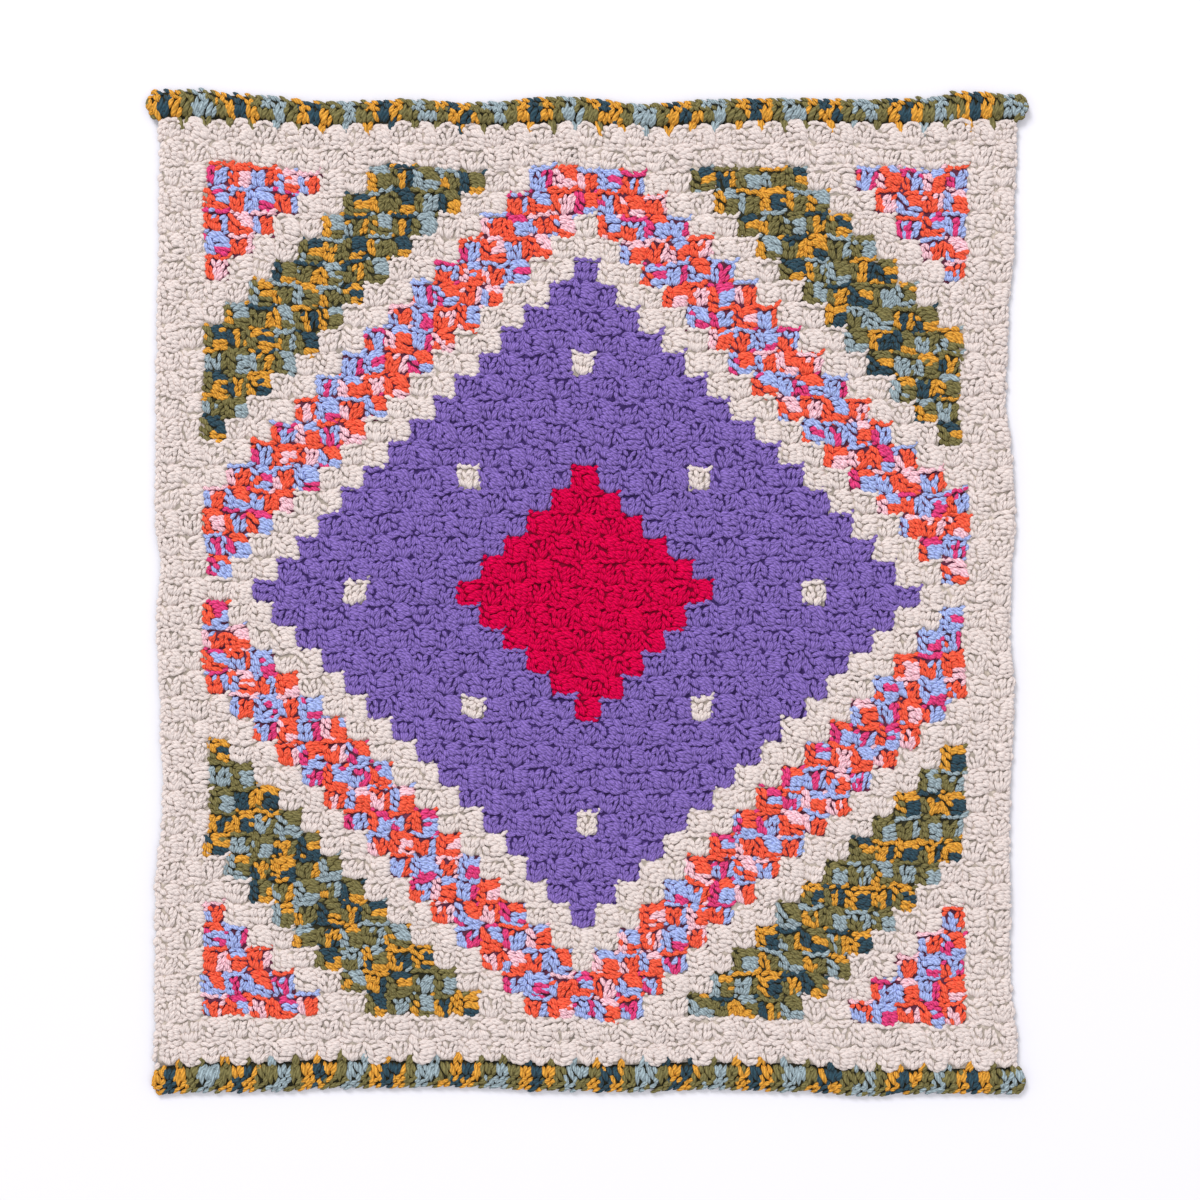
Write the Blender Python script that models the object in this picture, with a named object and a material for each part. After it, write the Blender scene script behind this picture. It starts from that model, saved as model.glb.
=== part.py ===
"""Corner to corner crochet blanket, laid flat: one worked panel and an edging at each end."""
import bisect
import math
import random

import bmesh
import bpy

# Driving sizes, in metres. X runs across the blanket, Y up its length, Z up from the surface.
COLUMNS = 37
ROWS = 41
NOMINAL_WIDTH = 1.287
BLOCK_VALLEY = 0.0085
BLOCK_CROWN = 0.0045
RIDGE_INSET = 0.0095
SCALLOP_DEPTH = 0.009
PIECE_GAP = 0.0004
# How far the grooves between the stitches of an edging are sunk.
STITCH_GROOVE = 0.0020
# Beyond this height the panel's crosswise rim edges belong to its first or last row of blocks.
END_ZONE = 0.6
# Turns at which the rounded end of an edging is stepped, in degrees from its tip.
END_TURNS = (15.0, 40.0, 65.0)
# The blocks are a little uneven, as hand work is.
CORNER_JITTER = 0.0008
JITTER_SEED = 7

# Side edges of the panel: height on the blanket, left edge, right edge.
SIDE_EDGES = (
    (-0.6815, -0.651, 0.647),
    (-0.6065, -0.650, 0.638),
    (-0.4565, -0.650, 0.635),
    (-0.3135, -0.639, 0.636),
    (-0.1925, -0.642, 0.642),
    (-0.0415, -0.648, 0.636),
    (0.0345, -0.642, 0.639),
    (0.1095, -0.650, 0.645),
    (0.2225, -0.649, 0.636),
    (0.2905, -0.649, 0.630),
    (0.4115, -0.648, 0.633),
    (0.5245, -0.645, 0.641),
    (0.6755, -0.644, 0.646),
)
# Top edging: place across, height of its seam with the panel, height of its outer edge.
TOP_EDGING = (
    (-0.663, 0.7155, 0.7555),
    (-0.595, 0.7165, 0.7585),
    (-0.520, 0.7135, 0.7505),
    (-0.403, 0.7025, 0.7405),
    (-0.346, 0.7065, 0.7405),
    (-0.275, 0.7105, 0.7435),
    (-0.170, 0.7045, 0.7375),
    (-0.041, 0.7095, 0.7475),
    (0.095, 0.7015, 0.7355),
    (0.182, 0.7075, 0.7435),
    (0.321, 0.7105, 0.7435),
    (0.427, 0.7095, 0.7425),
    (0.502, 0.7065, 0.7445),
    (0.565, 0.7115, 0.7555),
    (0.663, 0.7145, 0.7485),
)
# Bottom edging: place across, height of its seam with the panel, height of its outer edge.
BOTTOM_EDGING = (
    (-0.655, -0.7175, -0.7555),
    (-0.557, -0.7105, -0.7525),
    (-0.456, -0.7105, -0.7515),
    (-0.403, -0.7065, -0.7475),
    (-0.275, -0.7085, -0.7455),
    (-0.190, -0.7075, -0.7455),
    (-0.041, -0.7125, -0.7515),
    (0.057, -0.7145, -0.7525),
    (0.170, -0.7105, -0.7485),
    (0.306, -0.7125, -0.7515),
    (0.412, -0.7215, -0.7585),
    (0.517, -0.7215, -0.7545),
    (0.600, -0.7195, -0.7545),
    (0.659, -0.7165, -0.7555),
)
# Section across an edging, from its seam to its outer edge: share of its width, height.
ROLLED_SECTION = ((0.0, 0.010), (0.22, 0.0155), (0.52, 0.017), (0.82, 0.0145), (1.0, 0.0075))
FLAT_SECTION = ((0.0, 0.0095), (0.25, 0.0125), (0.5, 0.0115), (0.78, 0.0125), (1.0, 0.0065))

CREAM = (0.68, 0.60, 0.53, 1.0)
OLIVE = (0.16, 0.17, 0.07, 1.0)


def clear_scene():
    for old in list(bpy.data.objects):
        bpy.data.objects.remove(old, do_unlink=True)


def read_table(table, place, column):
    """Value of one column at a place, along smooth steps between the rows."""
    places = [row[0] for row in table]
    after = min(max(bisect.bisect_right(places, place), 1), len(table) - 1)
    low, high = table[after - 1], table[after]
    share = min(max((place - low[0]) / (high[0] - low[0]), 0.0), 1.0)
    smooth = share * share * (3.0 - 2.0 * share)
    return low[column] + (high[column] - low[column]) * smooth


def panel_point(across, up):
    """Place on the panel for a share of its width and a share of its length."""
    x = NOMINAL_WIDTH * (across - 0.5)
    bottom = read_table(BOTTOM_EDGING, x, 1)
    top = read_table(TOP_EDGING, x, 1)
    y = bottom + (top - bottom) * up
    left = read_table(SIDE_EDGES, y, 1)
    right = read_table(SIDE_EDGES, y, 2)
    return left + (right - left) * across, y


def yarn_material(name, color):
    material = bpy.data.materials.new(name)
    material.use_nodes = True
    shader = material.node_tree.nodes["Principled BSDF"]
    shader.inputs["Base Color"].default_value = color
    shader.inputs["Roughness"].default_value = 0.9
    shader.inputs["Metallic"].default_value = 0.0
    return material


def close_underside(bm):
    """Drop a wall from the rim of an open sheet to the surface and close it flat."""
    rim = [edge for edge in bm.edges if edge.is_boundary]
    wall = bmesh.ops.extrude_edge_only(bm, edges=rim)["geom"]
    for item in wall:
        if isinstance(item, bmesh.types.BMVert):
            item.co.z = 0.0
    foot = [edge for edge in bm.edges if edge.is_boundary]
    bmesh.ops.edgeloop_fill(bm, edges=foot)
    bmesh.ops.recalc_face_normals(bm, faces=bm.faces)


def add_object(bm, name, material, collection):
    mesh = bpy.data.meshes.new(name)
    bm.to_mesh(mesh)
    bm.free()
    mesh.materials.append(material)
    piece = bpy.data.objects.new(name, mesh)
    collection.objects.link(piece)
    return piece


def rim_points(side):
    """Points along the first or last row of blocks: low corners with a dome between each two."""
    up = (1 + side) / 2
    corners = [panel_point(column / COLUMNS, up) for column in range(COLUMNS + 1)]
    points = []
    for (x, y), (next_x, next_y) in zip(corners, corners[1:]):
        points.append((x, y - side * SCALLOP_DEPTH))
        points.append(((x + next_x) / 2.0, (y + next_y) / 2.0))
    x, y = corners[-1]
    points.append((x, y - side * SCALLOP_DEPTH))
    return points


def block_grid():
    """Flat sheet with one face for each block, and each face's column and row."""
    bm = bmesh.new()
    bmesh.ops.create_grid(bm, x_segments=COLUMNS, y_segments=ROWS, size=0.5)
    places = {}
    for face in bm.faces:
        center = face.calc_center_median()
        places[face] = (int((center.x + 0.5) * COLUMNS), int((center.y + 0.5) * ROWS))
    shift = random.Random(JITTER_SEED)
    for vert in bm.verts:
        across, up = vert.co.x + 0.5, vert.co.y + 0.5
        x, y = panel_point(across, up)
        if not vert.is_boundary:
            x += shift.uniform(-CORNER_JITTER, CORNER_JITTER)
            y += shift.uniform(-CORNER_JITTER, CORNER_JITTER)
        vert.co = (x, y, BLOCK_VALLEY)
    return bm, places


def crown_blocks(bm, places):
    """Raise each block to a ridge; neighbours are turned a quarter, as their stitches are."""
    bmesh.ops.inset_individual(bm, faces=list(places), thickness=RIDGE_INSET, depth=BLOCK_CROWN)
    short_edges = []
    for face, (column, row) in places.items():
        upright = (column + row) % 2 == 0
        for edge in face.edges:
            run = edge.verts[1].co - edge.verts[0].co
            if (abs(run.x) > abs(run.y)) == upright:
                short_edges.append(edge)
    bmesh.ops.collapse(bm, edges=short_edges)


def is_end_edge(edge, side):
    run = edge.verts[1].co - edge.verts[0].co
    middle = (edge.verts[0].co + edge.verts[1].co) / 2.0
    return edge.is_boundary and abs(run.x) > abs(run.y) and middle.y * side > END_ZONE


def scallop_ends(bm):
    """Dome the first and last rows of blocks, with a notch at each corner between them."""
    for side in (1, -1):
        rim = [edge for edge in bm.edges if is_end_edge(edge, side)]
        verts = {vert for edge in rim for vert in edge.verts}
        for edge in rim:
            verts.add(bmesh.utils.edge_split(edge, edge.verts[0], 0.5)[1])
        for vert, point in zip(sorted(verts, key=lambda vert: vert.co.x), rim_points(side)):
            vert.co.xy = point


def make_panel(collection):
    bm, places = block_grid()
    crown_blocks(bm, places)
    scallop_ends(bm)
    close_underside(bm)
    return add_object(bm, "panel", yarn_material("cream_yarn", CREAM), collection)


def end_stations(corner, reach, side):
    """Rounded end of an edging beyond the panel's corner: places, and how much width is left."""
    x, y = corner
    inner = y + side * PIECE_GAP
    return [(x + reach * math.cos(math.radians(turn)), inner, math.sin(math.radians(turn)))
            for turn in END_TURNS]


def edging_stations(table, side):
    """Places along an edging, its inner rim there and the share of its width that is left."""
    rim = rim_points(side)
    stations = end_stations(rim[0], table[0][0] - rim[0][0], side)
    for (x, y), (next_x, next_y) in zip(rim, rim[1:]):
        stations.append((x, y + side * PIECE_GAP, 1.0))
        stations.append(((x + next_x) / 2.0, (y + next_y) / 2.0 + side * PIECE_GAP, 1.0))
    stations.append((rim[-1][0], rim[-1][1] + side * PIECE_GAP, 1.0))
    stations += reversed(end_stations(rim[-1], table[-1][0] - rim[-1][0], side))
    return stations


def make_edging(name, table, side, section, material, collection):
    """One end's edging: ribbed by its stitches, fitted between the panel's domes."""
    stations = edging_stations(table, side)
    columns, steps = len(stations) - 1, len(section) - 1
    bm = bmesh.new()
    bmesh.ops.create_grid(bm, x_segments=columns, y_segments=steps, size=0.5)
    for vert in bm.verts:
        column = round((vert.co.x + 0.5) * columns)
        x, inner, keep = stations[column]
        share, height = section[round((vert.co.y + 0.5) * steps)]
        outer = read_table(table, x, 2)
        middle = (inner + outer) / 2.0
        y = middle + (inner + (outer - inner) * share - middle) * keep
        groove = STITCH_GROOVE if column % 2 == 0 else 0.0
        vert.co = (x, y, height - groove)
    close_underside(bm)
    return add_object(bm, name, material, collection)


def main():
    clear_scene()
    collection = bpy.data.collections.new("corner_to_corner_blanket")
    bpy.context.scene.collection.children.link(collection)
    make_panel(collection)
    green_mix = yarn_material("green_mix_yarn", OLIVE)
    make_edging("edging_top", TOP_EDGING, 1, ROLLED_SECTION, green_mix, collection)
    make_edging("edging_bottom", BOTTOM_EDGING, -1, FLAT_SECTION, green_mix, collection)


main()
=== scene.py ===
import collections
import math

import bpy
import numpy as np
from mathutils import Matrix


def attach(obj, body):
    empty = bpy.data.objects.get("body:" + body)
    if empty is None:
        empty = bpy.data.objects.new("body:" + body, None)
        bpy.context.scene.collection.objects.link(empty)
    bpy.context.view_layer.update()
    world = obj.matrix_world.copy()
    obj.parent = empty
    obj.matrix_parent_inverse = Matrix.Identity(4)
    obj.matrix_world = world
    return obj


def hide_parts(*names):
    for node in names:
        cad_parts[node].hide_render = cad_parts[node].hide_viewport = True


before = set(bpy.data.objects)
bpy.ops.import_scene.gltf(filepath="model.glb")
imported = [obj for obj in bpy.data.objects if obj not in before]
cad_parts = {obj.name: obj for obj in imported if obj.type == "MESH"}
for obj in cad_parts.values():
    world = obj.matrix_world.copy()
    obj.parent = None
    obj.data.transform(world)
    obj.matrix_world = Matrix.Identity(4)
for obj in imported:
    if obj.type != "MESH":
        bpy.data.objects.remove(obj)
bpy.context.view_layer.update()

# Driving sizes, in metres: the same as the solids'. X runs across the blanket, Y up its length.
COLUMNS = 37
ROWS = 41
NOMINAL_WIDTH = 1.287
NOMINAL_LENGTH = 1.421
BLOCK = NOMINAL_WIDTH / COLUMNS
SCALLOP_DEPTH = 0.009

# Columns of the tables of edges, after the place that each row is for.
LEFT, RIGHT = 1, 2
SEAM, OUTER = 1, 2
# Side edges of the panel: height on the blanket, left edge, right edge.
SIDE_EDGES = (
    (-0.6815, -0.651, 0.647),
    (-0.6065, -0.650, 0.638),
    (-0.4565, -0.650, 0.635),
    (-0.3135, -0.639, 0.636),
    (-0.1925, -0.642, 0.642),
    (-0.0415, -0.648, 0.636),
    (0.0345, -0.642, 0.639),
    (0.1095, -0.650, 0.645),
    (0.2225, -0.649, 0.636),
    (0.2905, -0.649, 0.630),
    (0.4115, -0.648, 0.633),
    (0.5245, -0.645, 0.641),
    (0.6755, -0.644, 0.646),
)
# Top edging: place across, height of its seam with the panel, height of its outer edge.
TOP_EDGING = (
    (-0.663, 0.7155, 0.7555),
    (-0.595, 0.7165, 0.7585),
    (-0.520, 0.7135, 0.7505),
    (-0.403, 0.7025, 0.7405),
    (-0.346, 0.7065, 0.7405),
    (-0.275, 0.7105, 0.7435),
    (-0.170, 0.7045, 0.7375),
    (-0.041, 0.7095, 0.7475),
    (0.095, 0.7015, 0.7355),
    (0.182, 0.7075, 0.7435),
    (0.321, 0.7105, 0.7435),
    (0.427, 0.7095, 0.7425),
    (0.502, 0.7065, 0.7445),
    (0.565, 0.7115, 0.7555),
    (0.663, 0.7145, 0.7485),
)
# Bottom edging: place across, height of its seam with the panel, height of its outer edge.
BOTTOM_EDGING = (
    (-0.655, -0.7175, -0.7555),
    (-0.557, -0.7105, -0.7525),
    (-0.456, -0.7105, -0.7515),
    (-0.403, -0.7065, -0.7475),
    (-0.275, -0.7085, -0.7455),
    (-0.190, -0.7075, -0.7455),
    (-0.041, -0.7125, -0.7515),
    (0.057, -0.7145, -0.7525),
    (0.170, -0.7105, -0.7485),
    (0.306, -0.7125, -0.7515),
    (0.412, -0.7215, -0.7585),
    (0.517, -0.7215, -0.7545),
    (0.600, -0.7195, -0.7545),
    (0.659, -0.7165, -0.7555),
)
# Section across an edging, from its seam to its outer edge: share of its width, height.
ROLLED_SECTION = ((0.0, 0.0120), (0.22, 0.0160), (0.52, 0.0172), (0.82, 0.0140), (1.0, 0.0080))
FLAT_SECTION = ((0.0, 0.0105), (0.25, 0.0125), (0.5, 0.0120), (0.78, 0.0120), (1.0, 0.0075))
# The edgings: the solid that each stands for, its table, the end of the panel that it is on, and its section.
EDGINGS = (
    ("edging_top", TOP_EDGING, 1, ROLLED_SECTION),
    ("edging_bottom", BOTTOM_EDGING, -1, FLAT_SECTION),
)

# Colours of each yarn, in linear light, and how long each colour runs, counted in the parts of a block's yarn
# that the tables of loops name.
CREAM_RUN = (((0.746, 0.646, 0.610), 1.0),)
PURPLE_RUN = (((0.222, 0.141, 0.440), 1.0),)
RED_RUN = (((0.66, 0.0012, 0.062), 1.0),)
CORAL = (0.88, 0.114, 0.058)
LIGHT_PINK = (0.89, 0.54, 0.61)
PERIWINKLE = (0.365, 0.455, 0.79)
MAGENTA = (0.72, 0.055, 0.20)
PINK_RUN = (
    (CORAL, 2.1),
    (LIGHT_PINK, 1.7),
    (CORAL, 2.1),
    (PERIWINKLE, 1.9),
    (MAGENTA, 1.2),
    (PERIWINKLE, 1.8),
)
GOLD = (0.68, 0.320, 0.046)
TEAL = (0.029, 0.068, 0.094)
OLIVE = (0.182, 0.160, 0.064)
DUSTY_BLUE = (0.305, 0.385, 0.420)
GREEN_RUN = (
    (GOLD, 1.4),
    (TEAL, 1.6),
    (GOLD, 1.3),
    (OLIVE, 1.9),
    (DUSTY_BLUE, 2.3),
    (OLIVE, 1.7),
)
YARNS = {
    "cream": CREAM_RUN,
    "purple": PURPLE_RUN,
    "red": RED_RUN,
    "pink_mix": PINK_RUN,
    "green_mix": GREEN_RUN,
}
# How each yarn is shaded: shares of its colour as painted shade in a crease between plies and as a painted
# highlight on a ply, those of its darkest and lightest fibres, and how strong their relief is. Pale yarn
# throws more light from fibre to fibre, so that it shows less of them.
SHADING = {
    "cream": (0.92, 1.02, 0.93, 1.04, 0.52),
    "purple": (0.74, 1.16, 0.78, 1.24, 0.70),
    "red": (0.76, 1.12, 0.78, 1.20, 0.70),
    "pink_mix": (0.76, 1.14, 0.74, 1.30, 0.80),
    "green_mix": (0.72, 1.15, 0.72, 1.34, 0.80),
}
# Painted shade: the colour of each yarn deep in the shaded gaps between its strands, painted on the tops of
# the sheet and of the edgings' strips.
GAP_SHADE_COLORS = {
    "cream": (0.64, 0.55, 0.47),
    "purple": (0.066, 0.034, 0.170),
    "red": (0.30, 0.0010, 0.030),
    "pink_mix": (0.15, 0.035, 0.070),
    "green_mix": (0.040, 0.038, 0.020),
}

# The design, from its middle outwards: how many blocks each lozenge reaches, and its yarn.
LOZENGES = (
    (5, "red"),
    (14, "purple"),
    (16, "cream"),
    (20, "pink_mix"),
    (22, "cream"),
    (27, "green_mix"),
    (29, "cream"),
    (34, "pink_mix"),
)
# Single cream blocks: how many blocks they are from the middle, and in every how many columns there are some.
DOT_REACH = 10
DOT_STEP = 5
# Width of the cream margin, in blocks.
MARGIN = 2

# Loops of yarn that show in a block. Places are shares of the block, across and up: start, end, then width,
# height over the block's form in millimetres, sideways bow, and which part of the block's yarn the loop is.
# Blocks worked upwards are shields: bars of slanted strands above, legs that draw in to the foot, and a chain
# that leads on to the next block of the diagonal row.
UPRIGHT_LOOPS = (
    (
        (-0.08, 0.88, 0.26, 0.98, 0.19, 0.5, 0.03, 3.3),
        (0.16, 0.99, 0.50, 0.87, 0.19, 0.7, 0.00, 3.3),
        (0.44, 0.89, 0.80, 0.98, 0.19, 0.6, 0.02, 3.3),
        (0.72, 0.97, 1.10, 0.93, 0.18, 0.4, 0.00, 3.3),
        (0.00, 0.56, 0.26, 0.80, 0.19, 0.8, -0.03, 0.3),
        (0.35, 0.54, 0.60, 0.80, 0.20, 0.9, -0.02, 1.3),
        (0.70, 0.56, 0.94, 0.82, 0.19, 0.8, -0.03, 2.3),
        (0.10, 0.80, 0.16, 0.42, 0.18, 0.2, 0.02, 0.0),
        (0.24, 0.70, 0.38, 0.38, 0.18, 0.1, 0.00, 0.3),
        (0.50, 0.56, 0.46, 0.24, 0.19, 0.4, 0.00, 1.0),
        (0.66, 0.76, 0.60, 0.38, 0.18, 0.0, 0.00, 1.0),
        (0.90, 0.72, 0.80, 0.36, 0.18, 0.2, 0.00, 2.0),
        (0.14, 0.48, 0.32, 0.10, 0.18, 0.3, -0.03, 0.0),
        (0.30, 0.44, 0.42, 0.04, 0.18, 0.1, 0.00, 0.0),
        (0.46, 0.34, 0.52, -0.02, 0.18, 0.3, 0.00, 1.0),
        (0.62, 0.44, 0.58, 0.04, 0.18, 0.1, 0.00, 1.0),
        (0.76, 0.46, 0.68, 0.06, 0.18, 0.1, 0.00, 2.0),
        (0.90, 0.46, 0.78, 0.10, 0.18, 0.2, 0.03, 2.0),
        (0.02, 0.50, 0.18, 0.14, 0.20, -0.6, 0.00, 0.0),
        (1.00, 0.52, 0.92, 0.12, 0.20, -0.6, 0.00, 2.0),
        (0.04, 0.98, 0.36, 1.10, 0.19, -0.9, 0.00, 3.6),
        (0.46, 1.10, 0.84, 1.00, 0.19, -0.9, 0.00, 3.6),
        (0.76, 0.88, 1.13, 1.20, 0.18, 0.6, 0.02, 3.6),
    ),
    (
        (-0.06, 0.97, 0.24, 0.84, 0.18, 0.6, 0.00, 3.3),
        (0.14, 0.84, 0.44, 0.98, 0.18, 0.7, 0.03, 3.3),
        (0.38, 1.00, 0.70, 0.88, 0.18, 0.6, 0.00, 3.3),
        (0.62, 0.86, 0.96, 0.99, 0.18, 0.5, 0.02, 3.3),
        (-0.02, 0.60, 0.22, 0.80, 0.18, 0.7, -0.02, 3.0),
        (0.28, 0.84, 0.46, 0.54, 0.19, 0.8, 0.02, 1.3),
        (0.54, 0.56, 0.72, 0.84, 0.19, 0.8, -0.02, 1.6),
        (0.80, 0.86, 0.98, 0.58, 0.19, 0.7, 0.02, 2.3),
        (0.08, 0.72, 0.16, 0.36, 0.18, 0.2, -0.03, 0.0),
        (0.24, 0.62, 0.36, 0.30, 0.18, 0.1, 0.00, 0.0),
        (0.48, 0.58, 0.50, 0.22, 0.19, 0.4, 0.00, 1.0),
        (0.66, 0.66, 0.62, 0.32, 0.18, 0.0, 0.00, 1.0),
        (0.86, 0.70, 0.78, 0.34, 0.18, 0.2, 0.00, 2.0),
        (0.12, 0.42, 0.32, 0.10, 0.18, 0.2, -0.03, 0.0),
        (0.32, 0.38, 0.42, 0.02, 0.18, 0.2, 0.00, 0.0),
        (0.50, 0.30, 0.54, -0.04, 0.18, 0.2, 0.00, 1.0),
        (0.66, 0.38, 0.62, 0.02, 0.18, 0.1, 0.00, 1.0),
        (0.80, 0.42, 0.70, 0.06, 0.18, 0.2, 0.00, 2.0),
        (0.96, 0.52, 0.86, 0.14, 0.19, -0.1, 0.00, 2.0),
        (0.00, 0.46, 0.16, 0.12, 0.20, -0.6, 0.00, 0.0),
        (0.00, 1.10, 0.34, 0.99, 0.19, -0.9, 0.00, 3.6),
        (0.44, 1.00, 0.80, 1.11, 0.19, -0.9, 0.00, 3.6),
        (0.78, 0.90, 1.12, 1.22, 0.18, 0.5, 0.00, 3.6),
    ),
    (
        (-0.08, 0.95, 0.30, 0.89, 0.18, 0.6, 0.04, 3.3),
        (0.22, 0.88, 0.58, 1.00, 0.18, 0.7, 0.03, 3.3),
        (0.50, 0.99, 0.84, 0.90, 0.18, 0.6, 0.00, 3.3),
        (-0.02, 0.62, 0.20, 0.86, 0.18, 0.6, -0.02, 0.0),
        (0.30, 0.58, 0.52, 0.84, 0.19, 0.8, -0.02, 3.0),
        (0.76, 0.90, 1.10, 1.02, 0.18, 0.5, 0.03, 3.3),
        (0.64, 0.60, 0.92, 0.84, 0.19, 0.7, -0.02, 2.0),
        (0.08, 0.80, 0.20, 0.42, 0.18, 0.2, -0.04, 0.0),
        (0.24, 0.82, 0.30, 0.48, 0.18, 0.1, -0.02, 0.0),
        (0.42, 0.76, 0.44, 0.38, 0.19, 0.3, 0.00, 1.0),
        (0.62, 0.82, 0.56, 0.42, 0.18, 0.1, 0.00, 1.0),
        (0.82, 0.74, 0.74, 0.38, 0.18, 0.2, 0.02, 2.0),
        (0.98, 0.78, 0.88, 0.42, 0.18, 0.1, 0.04, 2.0),
        (0.16, 0.50, 0.34, 0.12, 0.18, 0.3, -0.03, 0.0),
        (0.32, 0.46, 0.42, 0.04, 0.18, 0.2, 0.00, 0.0),
        (0.46, 0.42, 0.50, 0.00, 0.18, 0.3, 0.00, 1.0),
        (0.62, 0.46, 0.58, 0.02, 0.18, 0.2, 0.00, 1.0),
        (0.76, 0.44, 0.66, 0.06, 0.18, 0.2, 0.00, 2.0),
        (0.90, 0.48, 0.80, 0.12, 0.18, 0.1, 0.03, 2.0),
        (0.04, 0.46, 0.20, 0.12, 0.20, -0.6, 0.00, 0.0),
        (0.04, 1.08, 0.38, 1.02, 0.18, -0.9, 0.00, 3.6),
        (0.42, 1.02, 0.78, 1.12, 0.18, -0.9, 0.00, 3.6),
        (0.74, 0.92, 1.10, 1.20, 0.18, 0.6, -0.02, 3.6),
    ),
)
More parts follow.
